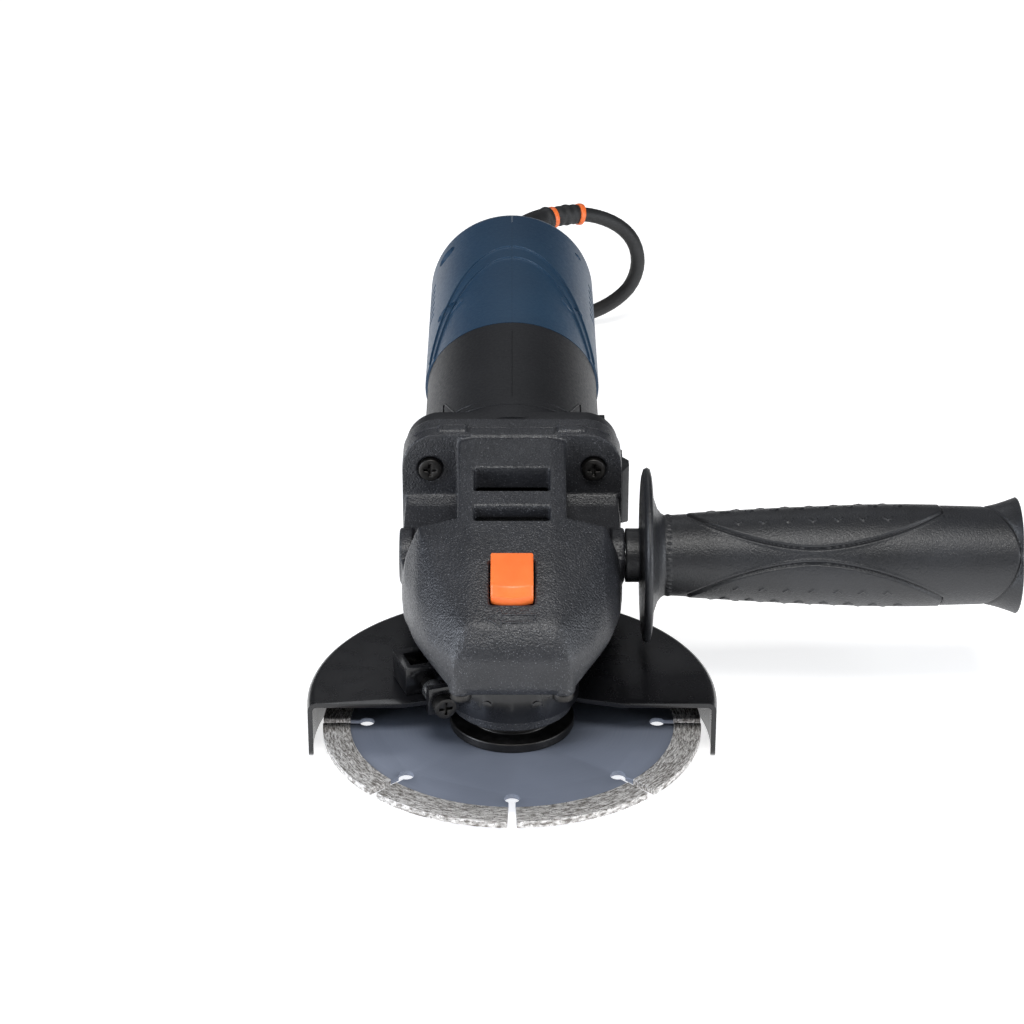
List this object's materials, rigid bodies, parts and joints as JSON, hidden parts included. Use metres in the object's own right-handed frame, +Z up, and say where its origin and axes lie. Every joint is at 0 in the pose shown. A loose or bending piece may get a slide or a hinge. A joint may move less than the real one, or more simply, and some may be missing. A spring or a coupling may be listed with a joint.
{
  "type": "angle grinder",
  "caption": "Corded angle grinder with a segmented cutting disc, adjustable guard, side handle, spindle lock, slide switch and a coiled mains cord with its plug.",
  "frame": {"origin": "on the spindle axis, in the plane where the disc seats against the inner flange", "axes": "+Z up the spindle towards the gear case, +Y back along the motor, +X towards the side handle"},
  "size_m": [0.2355, 0.4246, 0.0905],
  "materials": {
    "black_powder_coat": "black powder coat, satin",
    "machined_steel": "satin",
    "black_oxide_steel": "satin",
    "cast_aluminium": "matt",
    "disc_steel": "satin",
    "diamond_segment": "matt",
    "orange_plastic": "satin",
    "gloss_black_steel": "gloss",
    "black_plastic": "satin",
    "blue_plastic": "satin",
    "electrical_steel": "satin",
    "copper": "satin",
    "brass": "satin",
    "carbon": "matt",
    "capacitor_film": "gloss",
    "black_rubber": "matt",
    "tie_wrap": "satin"
  },
  "bodies": {
    "grinder_body": {"gear_case": "black_powder_coat", "bearing_box": "black_powder_coat", "bearing_box_screws": "black_oxide_steel", "spindle_bearing": "machined_steel", "bearing_retainer": "cast_aluminium", "needle_bearing": "machined_steel", "motor_housing": "black_plastic", "housing_screws": "black_oxide_steel", "rear_cover_left": "blue_plastic", "rear_cover_right": "blue_plastic", "cover_screws": "black_oxide_steel", "front_bearing": "machined_steel", "rear_bearing": "machined_steel", "bearing_sleeve": "black_plastic", "stator_core": "electrical_steel", "field_coils": "copper", "air_baffle": "black_plastic", "brush_holders": "brass", "carbon_brushes": "carbon", "brush_springs": "machined_steel", "switch_body": "black_plastic", "noise_capacitor": "capacitor_film", "cord_clamp": "black_plastic", "clamp_bar_screws": "machined_steel", "cord_boot": "black_rubber", "cord": "black_rubber", "cord_sleeve": "black_rubber", "cord_rings": "orange_plastic", "cord_hank": "black_rubber", "hank_tie": "tie_wrap", "plug_body": "black_plastic", "plug_pins": "brass"},
    "spindle_group": {"spindle": "machined_steel", "ring_gear": "machined_steel", "inner_flange": "black_oxide_steel", "disc_core": "disc_steel", "disc_segments": "diamond_segment", "flange_nut": "black_oxide_steel"},
    "armature": {"armature_shaft": "machined_steel", "armature_core": "electrical_steel", "armature_windings": "copper", "commutator": "copper", "cooling_fan": "black_plastic", "pinion": "machined_steel", "pinion_nut": "machined_steel"},
    "lock": {"lock_button": "orange_plastic", "lock_pin": "machined_steel", "lock_spring": "machined_steel"},
    "guard_group": {"guard": "gloss_black_steel", "guard_band": "gloss_black_steel", "clamp_screw": "black_oxide_steel", "clamp_nut": "machined_steel"},
    "switch": {"switch_slider": "black_plastic", "switch_rod": "machined_steel"},
    "side_handle": {"handle_grip": "black_plastic", "handle_pads": "black_rubber", "handle_stud": "machined_steel"}
  },
  "joints": [
    {"name": "spindle_spin", "type": "hinge", "parent": "grinder_body", "child": "spindle_group", "pos_m": [0, 0, 0], "axis": [0, 0, 1], "continuous": true},
    {"name": "armature_spin", "type": "hinge", "parent": "grinder_body", "child": "armature", "pos_m": [0, 0.03, 0.048], "axis": [0, 1, 0], "continuous": true},
    {"name": "lock_press", "type": "slide", "parent": "grinder_body", "child": "lock", "axis": [0, 0, -1], "range_m": [0, 0.0038], "stiffness_N_per_m": 900, "springref_m": -0.002, "deforming": ["lock_spring"]},
    {"name": "switch_slide", "type": "slide", "parent": "grinder_body", "child": "switch", "axis": [0, -1, 0], "range_m": [0, 0.0058]},
    {"name": "guard_turn", "type": "hinge", "parent": "grinder_body", "child": "guard_group", "pos_m": [0, 0, 0.018], "axis": [0, 0, 1], "range_deg": [-90, 90]},
    {"name": "handle_unscrew", "type": "slide", "parent": "grinder_body", "child": "side_handle", "axis": [1, 0, 0], "range_m": [0, 0.025]}
  ],
  "couplings": [
    {"joint": "armature_spin", "follows": "spindle_spin", "ratio": 3.2727}
  ]
}
